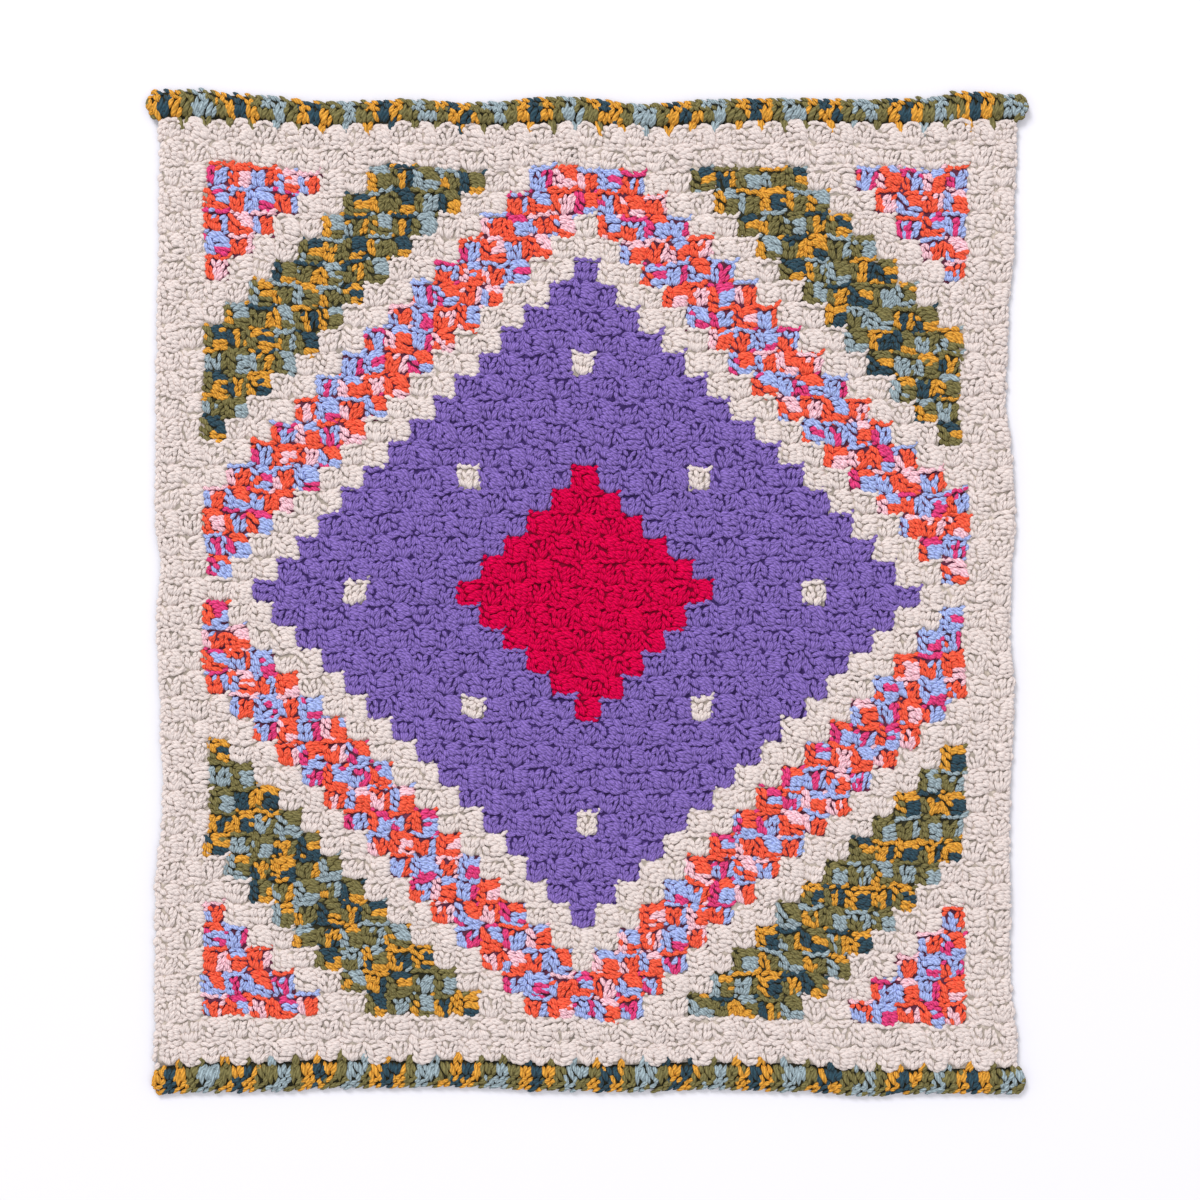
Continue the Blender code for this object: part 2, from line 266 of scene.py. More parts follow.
# Blocks worked sideways show their back: a smooth dome of long strands on the right, slanted knots on the
# left, and the chain that leads on.
SIDEWAYS_LOOPS = (
    (
        (0.32, 0.76, 0.70, 0.98, 0.22, 0.0, 0.02, 0.0),
        (0.60, 0.84, 0.98, 0.92, 0.22, -0.1, 0.03, 0.0),
        (0.38, 0.64, 0.76, 0.82, 0.22, 0.3, 0.02, 0.0),
        (0.66, 0.70, 1.07, 0.78, 0.22, 0.1, 0.00, 0.0),
        (0.42, 0.51, 0.80, 0.64, 0.22, 0.4, 0.00, 1.0),
        (0.70, 0.56, 1.11, 0.62, 0.22, 0.2, 0.00, 1.0),
        (0.42, 0.38, 0.82, 0.45, 0.22, 0.3, 0.00, 1.0),
        (0.70, 0.42, 1.11, 0.44, 0.22, 0.2, 0.00, 1.0),
        (0.38, 0.27, 0.78, 0.26, 0.22, 0.3, 0.00, 2.0),
        (0.66, 0.28, 1.08, 0.24, 0.22, 0.1, 0.00, 2.0),
        (0.34, 0.16, 0.74, 0.06, 0.21, 0.1, -0.02, 2.0),
        (0.62, 0.12, 1.00, 0.06, 0.21, 0.0, -0.02, 2.0),
        (-0.06, 0.96, 0.16, 0.68, 0.20, 0.4, 0.00, 3.0),
        (0.10, 0.98, 0.36, 0.72, 0.20, 0.7, 0.02, 3.0),
        (-0.02, 0.70, 0.14, 0.36, 0.20, 0.3, 0.00, 3.0),
        (0.16, 0.72, 0.40, 0.46, 0.21, 0.8, 0.02, 3.3),
        (-0.02, 0.40, 0.14, 0.08, 0.20, 0.2, 0.00, 3.3),
        (0.14, 0.46, 0.40, 0.18, 0.21, 0.6, 0.00, 3.3),
        (0.10, 0.20, 0.42, 0.04, 0.20, 0.2, -0.02, 3.6),
        (-0.04, 1.08, 0.32, 0.99, 0.19, -0.8, 0.00, 0.0),
        (0.36, 1.00, 0.74, 1.09, 0.19, -0.9, 0.00, 0.0),
        (0.34, -0.06, 0.72, 0.02, 0.19, -0.9, 0.00, 2.0),
        (0.82, 0.92, 1.10, 1.12, 0.18, 0.2, 0.02, 3.6),
    ),
    (
        (0.22, 0.86, 0.60, 1.00, 0.21, 0.0, 0.03, 0.0),
        (0.52, 0.92, 0.92, 0.90, 0.22, -0.1, 0.04, 0.0),
        (0.32, 0.72, 0.72, 0.86, 0.22, 0.2, 0.02, 0.0),
        (0.60, 0.76, 1.04, 0.76, 0.22, 0.1, 0.02, 0.0),
        (0.42, 0.60, 0.82, 0.70, 0.22, 0.4, 0.00, 1.0),
        (0.68, 0.60, 1.10, 0.60, 0.22, 0.2, 0.00, 1.0),
        (0.48, 0.46, 0.88, 0.52, 0.22, 0.4, 0.00, 1.0),
        (0.74, 0.44, 1.11, 0.44, 0.22, 0.2, 0.00, 1.0),
        (0.42, 0.30, 0.84, 0.36, 0.22, 0.3, 0.00, 2.0),
        (0.68, 0.28, 1.09, 0.26, 0.22, 0.1, 0.00, 2.0),
        (0.36, 0.18, 0.78, 0.18, 0.21, 0.2, -0.02, 2.0),
        (0.58, 0.10, 0.98, 0.06, 0.21, 0.0, -0.03, 2.0),
        (0.20, 0.62, 0.50, 0.42, 0.22, 0.9, 0.00, 3.3),
        (-0.08, 0.92, 0.16, 0.72, 0.20, 0.4, 0.00, 3.0),
        (0.04, 0.86, 0.32, 0.62, 0.21, 0.7, 0.00, 3.0),
        (-0.04, 0.64, 0.16, 0.34, 0.20, 0.3, -0.02, 3.0),
        (0.12, 0.48, 0.36, 0.20, 0.21, 0.6, 0.00, 3.3),
        (-0.04, 0.36, 0.14, 0.06, 0.20, 0.2, 0.00, 3.3),
        (0.14, 0.22, 0.46, 0.04, 0.21, 0.3, 0.00, 3.3),
        (-0.06, 0.99, 0.30, 1.09, 0.19, -0.8, 0.00, 0.0),
        (0.34, 1.09, 0.72, 1.01, 0.19, -0.9, 0.00, 0.0),
        (0.28, 0.02, 0.66, -0.07, 0.19, -0.9, 0.00, 2.0),
        (0.80, 0.94, 1.10, 1.10, 0.18, 0.2, 0.00, 3.6),
    ),
    (
        (0.16, 0.84, 0.54, 0.99, 0.21, 0.1, 0.03, 0.0),
        (0.46, 0.95, 0.90, 0.87, 0.22, 0.0, 0.04, 0.0),
        (0.22, 0.68, 0.62, 0.84, 0.22, 0.2, 0.02, 0.0),
        (0.52, 0.80, 1.02, 0.70, 0.22, 0.2, 0.03, 0.0),
        (0.34, 0.58, 0.74, 0.68, 0.22, 0.4, 0.00, 1.0),
        (0.64, 0.62, 1.10, 0.55, 0.22, 0.2, 0.02, 1.0),
        (0.42, 0.46, 0.80, 0.51, 0.22, 0.4, 0.00, 1.0),
        (0.70, 0.47, 1.11, 0.40, 0.22, 0.2, 0.00, 1.0),
        (0.40, 0.34, 0.80, 0.34, 0.22, 0.3, 0.00, 2.0),
        (0.68, 0.32, 1.09, 0.24, 0.22, 0.1, 0.00, 2.0),
        (0.36, 0.22, 0.76, 0.18, 0.21, 0.2, -0.02, 2.0),
        (0.60, 0.14, 1.00, 0.06, 0.21, 0.0, -0.03, 2.0),
        (-0.08, 0.90, 0.10, 0.60, 0.20, 0.4, 0.00, 3.0),
        (0.04, 0.78, 0.34, 0.56, 0.21, 0.7, 0.00, 3.0),
        (0.08, 0.60, 0.38, 0.38, 0.21, 0.8, 0.00, 3.3),
        (-0.06, 0.58, 0.10, 0.24, 0.20, 0.2, -0.02, 3.3),
        (0.10, 0.40, 0.36, 0.18, 0.21, 0.5, 0.00, 3.3),
        (-0.06, 0.30, 0.16, 0.04, 0.20, 0.2, 0.00, 3.6),
        (0.14, 0.16, 0.46, 0.02, 0.20, 0.2, 0.00, 3.6),
        (-0.06, 1.00, 0.26, 1.10, 0.19, -0.8, 0.00, 0.0),
        (0.30, 1.10, 0.68, 1.02, 0.19, -0.9, 0.00, 0.0),
        (0.32, -0.07, 0.70, 0.00, 0.19, -0.9, 0.00, 2.0),
        (0.82, 0.90, 1.12, 1.10, 0.18, 0.2, 0.02, 3.6),
    ),
)
# Loops in a block, and the parts of yarn that it takes.
LOOPS_A_BLOCK = len(UPRIGHT_LOOPS[0])
BLOCK_YARN = 4.6
# Loops in one stitch of an edging: places along the stitch and from the seam outwards, then as above, with
# widths as shares of the stitch.
EDGING_LOOPS = (
    (
        (0.00, 0.00, 0.42, 0.54, 0.52, 0.3, 0.04, 0.1),
        (1.00, 0.02, 0.58, 0.52, 0.52, 0.2, -0.04, 0.3),
        (0.06, 0.72, 0.72, 0.46, 0.38, 0.8, 0.00, 0.6),
        (0.60, 0.74, 1.20, 0.50, 0.38, 0.4, 0.00, 0.8),
        (-0.40, 1.02, 0.56, 0.76, 0.38, 0.6, 0.00, 1.0),
        (0.30, 1.02, 1.10, 0.80, 0.36, 0.1, 0.00, 1.1),
        (0.50, 0.40, 0.50, -0.03, 0.50, -0.7, 0.00, 0.0),
        (-0.02, 0.46, 0.04, 0.84, 0.48, -0.6, 0.00, 0.9),
        (0.50, 0.92, 0.52, 0.52, 0.50, -0.8, 0.00, 0.9),
    ),
    (
        (0.30, 0.78, 0.14, 0.00, 0.48, 0.4, 0.03, 0.2),
        (0.76, 0.66, 0.70, -0.03, 0.50, 0.1, 0.02, 0.4),
        (0.42, 0.86, 1.08, 0.54, 0.40, 0.8, 0.00, 0.7),
        (-0.40, 1.00, 0.52, 0.78, 0.38, 0.6, 0.00, 1.0),
        (0.32, 1.03, 1.10, 0.84, 0.36, 0.1, 0.00, 1.1),
        (-0.04, 0.60, 0.00, 0.06, 0.48, -0.5, 0.00, 0.2),
        (0.52, 0.56, 0.44, 0.16, 0.48, -0.3, 0.00, 0.3),
        (1.00, 0.92, 0.94, 0.52, 0.50, -0.5, 0.00, 0.8),
        (0.42, 0.24, 0.48, -0.05, 0.48, -0.5, 0.00, 0.2),
    ),
    (
        (0.04, -0.02, 0.76, 0.62, 0.54, 0.6, 0.00, 0.2),
        (0.56, -0.04, 1.06, 0.42, 0.46, 0.2, 0.00, 0.4),
        (-0.12, 0.24, 0.32, 0.76, 0.46, 0.2, 0.00, 0.5),
        (0.16, 0.84, 0.92, 0.66, 0.38, 0.8, 0.00, 0.8),
        (-0.42, 1.02, 0.50, 0.80, 0.38, 0.5, 0.00, 1.0),
        (0.34, 1.03, 1.14, 0.82, 0.36, 0.1, 0.00, 1.1),
        (0.92, 0.38, 0.90, 0.80, 0.50, -0.6, 0.00, 0.6),
        (0.28, 0.30, 0.34, -0.04, 0.50, -0.7, 0.00, 0.1),
        (0.02, 0.90, 0.06, 0.56, 0.50, -0.6, 0.00, 0.9),
    ),
)
# Loops that reach down between two domes of the panel.
SPIKE_LOOPS = (
    (
        (0.62, -0.60, 0.12, 0.10, 0.50, 0.2, 0.00, 0.0),
        (0.62, -0.44, 0.82, 0.10, 0.46, 0.0, 0.00, 0.0),
    ),
    (
        (0.74, -0.62, 0.06, 0.12, 0.48, 0.2, 0.00, 0.0),
        (0.76, -0.42, 0.42, 0.12, 0.46, 0.0, 0.00, 0.0),
    ),
    (
        (0.50, -0.50, 0.34, 0.12, 0.48, 0.1, 0.00, 0.0),
        (0.52, -0.36, 0.78, 0.10, 0.46, 0.0, 0.00, 0.0),
    ),
)
# Loops that follow the rounded end of an edging.
END_LOOPS = (
    (0.95, 1.00, 0.22, 1.00, 0.44, -0.2, 0.00, 0.0),
    (0.16, 0.98, 0.14, 0.02, 0.46, -0.4, 0.00, 0.0),
    (0.22, 0.00, 0.95, 0.00, 0.44, -0.2, 0.00, 0.0),
    (1.15, -0.20, 0.70, 0.38, 0.52, 0.0, 0.00, 0.4),
)
# Loops along a side edge of the panel: places inwards from the edge and up, then as above.
SIDE_LOOPS = (
    (0.03, -0.08, 0.17, 0.32, 0.24, 0.1, 0.03, 0.0),
    (0.02, 0.24, 0.16, 0.66, 0.24, 0.2, 0.03, 0.0),
    (0.03, 0.58, 0.18, 1.00, 0.24, 0.1, 0.03, 0.0),
)
# Columns of the tables of loops above.
START = slice(0, 2)
END = slice(2, 4)
PLACES = slice(0, 4)
WIDTH, HEIGHT, BOW, PART = 4, 5, 6, 7
MILLIMETRE = 0.001

# A loop is the upper side of a spindle: shares of its length where its tips and rings lie, the sizes of the
# rings, the turns from its left edge over its crown to its right edge, how high its section is for its width,
# and how far its ends sink.
STATIONS = np.array((0.0, 0.20, 0.50, 0.80, 1.0))
RING_SIZES = np.array((0.72, 1.0, 0.72))
RING_TURNS = np.radians(np.linspace(-15.0, 195.0, 5))
RINGS = len(RING_SIZES)
POINTS = len(RING_TURNS)
POINTS_AT_STATIONS = (1,) + (POINTS,) * RINGS + (1,)
POINTS_A_LOOP = sum(POINTS_AT_STATIONS)
FLATNESS = 0.74
END_SINK = 0.0023
# How much wider a strand of the panel is than its place, and how much longer one in a block is, so that they
# tuck under their neighbours.
FULLNESS = 1.12
OVERLAP = 1.16
# Height of the loops' middle lines at the rim of a block, and how far a block is crowned.
BLOCK_BASE = 0.0085
BLOCK_DOME = 0.0034
# The crown of a block is an egg, in shares of the block: its half widths at the foot of the stitches and at
# its widest, where that is, its middle and half length along the stitches, how flat its top is, and how low
# it falls at the corners.
CROWN_HALF_WIDTHS = (0.36, 0.56)
CROWN_WIDEST = 0.6
CROWN_MIDDLE = 0.55
CROWN_HALF_LENGTH = 0.56
CROWN_POWER = 3
CROWN_LOWEST = -0.2
# At the rims, in shares of a block: how much of the first one the smooth side column takes, and how far in
# the loops stay on the right and at the ends. The domes at the ends fall to their notches by a power.
SIDE_BAND = 0.10
SIDE_MARGIN = 0.03
END_MARGIN = 0.04
SCALLOP_POWER = 1.6
# The loops along the side edges: name, which side, and height of their middle lines.
SIDES = (
    ("left_edge_stitches", -1, 0.0078),
    ("right_edge_stitches", 1, 0.0063),
)
# Painted shade: the ends of a loop lie deeper, where light has been thrown from strand to strand, so their
# colour is darkened by a power of itself.
END_SHADE_POWER = 1.35

# Hand work is uneven: places and bows by shares of a block or stitch, widths and tones by shares of their
# own, the turns of blocks by degrees, heights by metres, and the yarn that is used by parts.
LOOP_JITTER = 0.028
BOW_JITTER = 0.024
SIZE_JITTER = 0.11
TONE_JITTER = 0.03
BLOCK_TURN = 4.5
BLOCK_UNEVEN = 0.0005
LOOP_UNEVEN = 0.0002
PART_JITTER = 0.15
YARN_JITTER = 0.5
# Slow drift of the stitches over the blanket, as a share of a block, and its waves across and up. In radians:
# how far each wave runs from column to column and from row to row, and where it starts.
DRIFT = 0.05
ACROSS_WAVES = ((2.1, 0.7, 0.0), (-0.4, 1.3, 1.0))
UP_WAVES = ((0.9, 1.7, 2.0), (2.6, -0.8, 0.0))
SEED = 20
# Loops that make one piece at most, so that each piece stays under 200,000 triangles.
MAX_LOOPS_A_PIECE = 7600

# Stitches along an edging, the yarn that each takes, and how far a spike's yarn may be off its neighbours'.
EDGING_STITCHES = 76
STITCH_YARN = 1.6
SPIKE_YARN_JITTER = 1.5
# How far the rounded ends of an edging reach, the share of its width that is left at their tips, and how far
# its loops keep from them.
END_REACH = 0.013
END_WIDTH = 0.5
END_INSET = 0.002
# How far the middle lines of an edging's loops lie below its section, and how many loops a part of its yarn
# makes in the map along the yarn.
EDGING_DEPTH = 0.0026
LOOPS_A_PART = 5.0
# The strip under those loops: how far it keeps from the ends, its shares of the width, how far it lies below
# the section, and the part of each stitch's yarn that its underside shows.
CORE_INSET = 0.004
CORE_SHARES = np.linspace(-0.05, 0.93, 6)
CORE_DEPTH = 0.0055
CORE_PART = 0.2

# The sheet that the panel's loops stand on: squares along a block, the yarn in each, its height, how far it
# keeps from the rim, and the grooves between the blocks of its underside: their depth, and how far from the
# middle of a block they start.
SHEET_SQUARES = 3
SQUARE_YARN = 0.5
SHEET_TOP = 0.0070
SHEET_INSET = 0.0035
UNDERSIDE_GROOVE = 0.0012
GROOVE_START = 0.4
# Tone of the narrow walls of the sheet and the strips.
WALL_TONE = 0.2
# Each loop has a square of its own in the map for baking: the margin of the square, and what is left of it.
BAKE_MARGIN = 0.06
BAKE_SPAN = 0.88

# The floor: its size, how far it lies under the blanket, and its colour.
FLOOR_SIZE = 12.0
FLOOR_GAP = 0.0005
FLOOR_COLOR = (0.815, 0.800, 0.848, 1.0)
# The camera looks straight down: the middle of its picture on the floor, the width of it that shows, and the
# lens and sensor, in millimetres.
PICTURE_MIDDLE = (0.0191, -0.0113)
PICTURE_WIDTH = 1.811
LENS = 85.0
SENSOR_WIDTH = 36.0
# The lamps: name, place, size and power in watts.
LAMPS = (
    ("key", (-5.2, 11.2, 11.2), 6.0, 1696.0),
    ("fill", (2.4, -1.2, 8.8), 6.0, 120.0),
)
SURROUND_COLOR = (0.96, 0.97, 1.0, 1.0)
SURROUND_STRENGTH = 0.77

# Many loops together: the places of their stations, their widths, and the colour and the length of yarn at
# each station.
Loops = collections.namedtuple("Loops", "centers widths colors lengths")


def read_table(table, place, column):
    """Values of one column at some places, along smooth steps between the rows."""
    rows = np.array(table)
    after = np.clip(np.searchsorted(rows[:, 0], place, side="right"), 1, len(rows) - 1)
    low, high = rows[after - 1], rows[after]
    share = np.clip((place - low[..., 0]) / (high[..., 0] - low[..., 0]), 0.0, 1.0)
    smooth = share * share * (3.0 - 2.0 * share)
    return low[..., column] + (high[..., column] - low[..., column]) * smooth


def panel_point(columns, rows):
    """Places on the panel, in metres, for distances counted in blocks from its lower left corner."""
    across, up = columns / COLUMNS, rows / ROWS
    x = NOMINAL_WIDTH * (across - 0.5)
    bottom = read_table(BOTTOM_EDGING, x, SEAM)
    top = read_table(TOP_EDGING, x, SEAM)
    y = bottom + (top - bottom) * up
    left = read_table(SIDE_EDGES, y, LEFT)
    right = read_table(SIDE_EDGES, y, RIGHT)
    return left + (right - left) * across, y


def chart_yarn(column, row):
    """Yarn of one block: an own design of stepped lozenges, one inside the other."""
    if min(column, COLUMNS - 1 - column, row, ROWS - 1 - row) < MARGIN:
        return "cream"
    across, up = abs(column - (COLUMNS - 1) // 2), abs(row - (ROWS - 1) // 2)
    reach = across + up
    if reach == DOT_REACH and across % DOT_STEP == 0:
        return "cream"
    for limit, yarn in LOZENGES:
        if reach <= limit:
            return yarn
    return "cream"


def block_list():
    """All blocks in working order, along diagonals turned at each end: column, row and yarn."""
    places = [(column, row) for column in range(COLUMNS) for row in range(ROWS)]
    places.sort(key=lambda place: (sum(place), place[0] if sum(place) % 2 else -place[0]))
    return [(column, row, chart_yarn(column, row)) for column, row in places]


def run_colors(run, lengths):
    """Colours of a yarn at some lengths along it, counted in parts of a block."""
    ends = np.cumsum([length for _, length in run])
    colors = np.array([color for color, _ in run])
    return colors[np.searchsorted(ends, np.mod(lengths, ends[-1]), side="right")]


def jittered(loops, rng):
    """A copy of a table of loops with its places moved and its bows changed a little."""
    table = np.array(loops)
    count = len(table)
    table[:, PLACES] += np.tile(rng.uniform(-LOOP_JITTER, LOOP_JITTER, (count, 2)), 2)
    table[:, PLACES] += rng.uniform(-LOOP_JITTER, LOOP_JITTER, (count, 4))
    table[:, BOW] += rng.normal(0.0, BOW_JITTER, count)
    return table


def lengthened(table):
    """Loops with both ends moved outwards, so that they pass under their neighbours."""
    longer = table.copy()
    middle = np.tile((table[:, START] + table[:, END]) / 2.0, 2)
    longer[:, PLACES] = middle + (table[:, PLACES] - middle) * OVERLAP
    return longer


def loop_paths(table):
    """Middle lines of some loops in their own square: places across and up, by loop and station."""
    start, end = table[:, START], table[:, END]
    run = end - start
    t = STATIONS[None, :, None]
    aside = np.stack((-run[:, 1], run[:, 0]), axis=1) / np.linalg.norm(run, axis=1)[:, None]
    bow = table[:, BOW][:, None, None] * 4.0 * t * (1.0 - t)
    path = start[:, None] + run[:, None] * t + aside[:, None] * bow
    return path[..., 0], path[..., 1]


def loop_heights(table, rng):
    """Heights of the stations of some loops over their base: the ends sink between their neighbours."""
    middle = table[:, HEIGHT] * MILLIMETRE + rng.normal(0.0, LOOP_UNEVEN, len(table))
    return middle[:, None] - END_SINK * (2.0 * STATIONS - 1.0)[None] ** 2


def loop_widths(table, unit, rng):
    """Widths of some loops in metres, a little uneven, where their square is one unit wide."""
    return table[:, WIDTH] * unit * (1.0 + rng.uniform(-SIZE_JITTER, SIZE_JITTER, len(table)))


def loop_colors(table, run, worked, rng):
    """Colour of each loop of some stitches, from how much of the yarn was worked before them."""
    parts = worked + table[:, PART] + rng.uniform(-PART_JITTER, PART_JITTER, len(table))
    return np.repeat(run_colors(run, parts)[:, None], len(STATIONS), axis=1)


def yarn_lengths(before, count):
    """Lengths along the yarn of the stations of some loops that follow one another, counted in loops."""
    return before + np.arange(count)[:, None] + STATIONS[None]


def block_relief(u, v, upright):
    """Height of a block's crown over its rim: an egg, narrow at the foot of the stitches."""
    along, across = (v, u) if upright else (u, v)
    half_width = np.interp(along, (0.0, CROWN_WIDEST), CROWN_HALF_WIDTHS)
    fall = np.abs((across - 0.5) / half_width) ** CROWN_POWER
    fall += np.abs((along - CROWN_MIDDLE) / CROWN_HALF_LENGTH) ** CROWN_POWER
    return BLOCK_DOME * np.clip(1.0 - fall, CROWN_LOWEST, 1.0)


def turned(u, v, turn):
    """Places in a block turned a little about its middle, in radians."""
    aside, up = u - 0.5, v - 0.5
    cosine, sine = math.cos(turn), math.sin(turn)
    return 0.5 + aside * cosine - up * sine, 0.5 + aside * sine + up * cosine


def rim_fitted(u, v, column, row):
    """Places in a block, moved to fit the panel's rim: domes at the ends, a smooth column on the left."""
    dip = SCALLOP_DEPTH / BLOCK * np.clip(np.abs(2.0 * u - 1.0), 0.0, 1.0) ** SCALLOP_POWER
    if row == ROWS - 1:
        v = np.minimum(v, 1.0 - END_MARGIN) - dip * np.clip(v, 0.0, 1.0)
    if row == 0:
        v = np.maximum(v, END_MARGIN) + dip * np.clip(1.0 - v, 0.0, 1.0)
    if column == 0:
        u = SIDE_BAND + (1.0 - SIDE_BAND) * np.maximum(u, 0.0)
    if column == COLUMNS - 1:
        u = np.minimum(u, 1.0 - SIDE_MARGIN)
    return u, v


def wave_sum(waves, columns, rows):
    """Sum of some waves at places counted in blocks."""
    return sum(np.sin(by_column * columns + by_row * rows + start) for by_column, by_row, start in waves)


def drifted(columns, rows):
    """Places in blocks, moved a little by slow waves, so that no two blocks are quite alike."""
    across = columns + DRIFT * wave_sum(ACROSS_WAVES, columns, rows)
    up = rows + DRIFT * wave_sum(UP_WAVES, columns, rows)
    return across, up


def joined(groups):
    """Several groups of loops as one."""
    return Loops(*[np.concatenate(column) for column in zip(*groups)])


def block_loops(blocks, rng):
    """The loops of all the panel's blocks, in working order."""
    groups = []
    worked = dict.fromkeys(YARNS, 0.0)
    for number, (column, row, yarn) in enumerate(blocks):
        upright = (column + row) % 2 == 0
        kinds = UPRIGHT_LOOPS if upright else SIDEWAYS_LOOPS
        table = lengthened(jittered(kinds[rng.integers(len(kinds))], rng))
        u, v = loop_paths(table)
        relief = block_relief(u, v, upright) + rng.normal(0.0, BLOCK_UNEVEN)
        z = BLOCK_BASE + relief + loop_heights(table, rng)
        u, v = turned(u, v, math.radians(rng.normal(0.0, BLOCK_TURN)))
        u, v = rim_fitted(u, v, column, row)
        x, y = panel_point(*drifted(column + u, row + v))
        colors = loop_colors(table, YARNS[yarn], worked[yarn], rng)
        worked[yarn] += BLOCK_YARN + rng.uniform(-YARN_JITTER, YARN_JITTER)
        widths = loop_widths(table, BLOCK * FULLNESS, rng)
        lengths = yarn_lengths(number * LOOPS_A_BLOCK, LOOPS_A_BLOCK)
        groups.append(Loops(np.stack((x, y, z), axis=2), widths, colors, lengths))
    return joined(groups)


def side_loops(side, base, rng):
    """The loops that run up the panel's left or right edge."""
    groups = []
    for row in range(ROWS):
        table = jittered(SIDE_LOOPS, rng)
        u, v = loop_paths(table)
        x, y = panel_point(u if side < 0 else COLUMNS - u, row + v)
        colors = loop_colors(table, CREAM_RUN, 0.0, rng)
        z = base + loop_heights(table, rng)
        widths = loop_widths(table, BLOCK * FULLNESS, rng)
        lengths = yarn_lengths(row * len(table), len(table))
        groups.append(Loops(np.stack((x, y, z), axis=2), widths, colors, lengths))
    return joined(groups)


def edging_place(table, x, out):
    """Height on the blanket of places on an edging, which is drawn in to a round end at both sides."""
    seam, outer = read_table(table, x, SEAM), read_table(table, x, OUTER)
    from_end = np.clip(np.minimum(x - table[0][0], table[-1][0] - x) / END_REACH, 0.0, 1.0)
    keep = np.maximum(np.sqrt(1.0 - (1.0 - from_end) ** 2), END_WIDTH)
    return (seam + outer) / 2.0 + (outer - seam) * (out - 0.5) * keep


def section_height(section, out):
    """Height over the surface of places on an edging, from its section."""
    shares = [share for share, _ in section]
    heights = [height for _, height in section]
    return np.interp(np.clip(out, 0.0, 1.0), shares, heights)


def notch_places(side):
    """Places across of the notches between the domes at one end of the panel."""
    corners = np.arange(1, COLUMNS)
    return panel_point(corners, np.full(len(corners), ROWS * (1.0 + side) / 2.0))[0]


def edging_rows(table, side, rng):
    """Tables of an edging's loops, with where each starts, its direction and the yarn worked before it."""
    start, end = table[0][0], table[-1][0]
    pitch = (end - start) / EDGING_STITCHES
    for number in range(EDGING_STITCHES):
        stitch = EDGING_LOOPS[rng.integers(len(EDGING_LOOPS))]
        yield stitch, start + number * pitch, pitch, number * STITCH_YARN
    for x in notch_places(side):
        worked = (x - start) / pitch * STITCH_YARN + rng.uniform(-SPIKE_YARN_JITTER, SPIKE_YARN_JITTER)
        yield SPIKE_LOOPS[rng.integers(len(SPIKE_LOOPS))], x - 0.5 * pitch, pitch, worked
    yield END_LOOPS, start, pitch, 0.0
    yield END_LOOPS, end, -pitch, EDGING_STITCHES * STITCH_YARN


def edging_loops(table, side, section, rng):
    """The loops of an edging: its stitches, the spikes between the panel's domes, and its rounded ends."""
    groups = []
    first, last = table[0][0] + END_INSET, table[-1][0] - END_INSET
    for rows, x_start, pitch, worked in edging_rows(table, side, rng):
        stitch = jittered(rows, rng)
        along, out = loop_paths(stitch)
        x = np.clip(x_start + along * pitch, first, last)
        z = section_height(section, out) - EDGING_DEPTH + loop_heights(stitch, rng)
        colors = loop_colors(stitch, GREEN_RUN, worked, rng)
        widths = loop_widths(stitch, abs(pitch), rng)
        lengths = yarn_lengths(worked * LOOPS_A_PART, len(stitch))
        groups.append(Loops(np.stack((x, edging_place(table, x, out), z), axis=2), widths, colors, lengths))
    return joined(groups)


def shaded(loops, rng):
    """Loops with colours a little uneven from one to the next, and painted shade where the ends go down."""
    tone = rng.normal(1.0, TONE_JITTER, (len(loops.colors), 1, 1))
    ends = ((STATIONS == 0.0) | (STATIONS == 1.0))[None, :, None]
    # Painted shade at the sunken ends of each loop.
    colors = np.where(ends, loops.colors ** END_SHADE_POWER, loops.colors)
    return loops._replace(colors=np.clip(colors * tone, 0.0, 1.0))


def add_object(name, mesh, material):
    """Smooth object of a mesh."""
    mesh.shade_smooth()
    mesh.materials.append(material)
    piece = bpy.data.objects.new(name, mesh)
    bpy.context.scene.collection.objects.link(piece)
    return piece


def add_paint(mesh, colors, domain):
    """The yarn's colours on a mesh, as the attribute that the materials read."""
    flat = colors.reshape(-1, 3)
    rgba = np.concatenate((flat, np.ones((len(flat), 1))), axis=1)
    paint = mesh.attributes.new("yarn_color", "FLOAT_COLOR", domain)
    paint.data.foreach_set("color", rgba.astype(np.float32).ravel())


def add_map(mesh, name, across, along):
    """A map of many loops, from where each corner lies across it and along it."""
    layer = mesh.uv_layers.new(name=name)
    layer.data.foreach_set("uv", np.stack((across, along), axis=2).astype(np.float32).ravel())


def loop_vertices(loops):
    """Points of each loop: its first tip, its rings and its last tip."""
    centers = loops.centers
    run = np.gradient(centers, axis=1)[:, 1:-1, :2]
    run /= np.maximum(np.linalg.norm(run, axis=2, keepdims=True), 1e-9)
    side = np.stack((-run[..., 1], run[..., 0], np.zeros(run.shape[:2])), axis=2)
    radius = loops.widths[:, None, None, None] * 0.5 * RING_SIZES[None, :, None, None]
    aside = side[:, :, None] * np.cos(RING_TURNS)[None, None, :, None] * radius
    up = np.sin(RING_TURNS)[None, None, :, None] * radius * FLATNESS * np.array((0.0, 0.0, 1.0))
    rings = (centers[:, 1:-1, None] + aside + up).reshape(len(centers), RINGS * POINTS, 3)
    return np.concatenate((centers[:, :1], rings, centers[:, -1:]), axis=1)


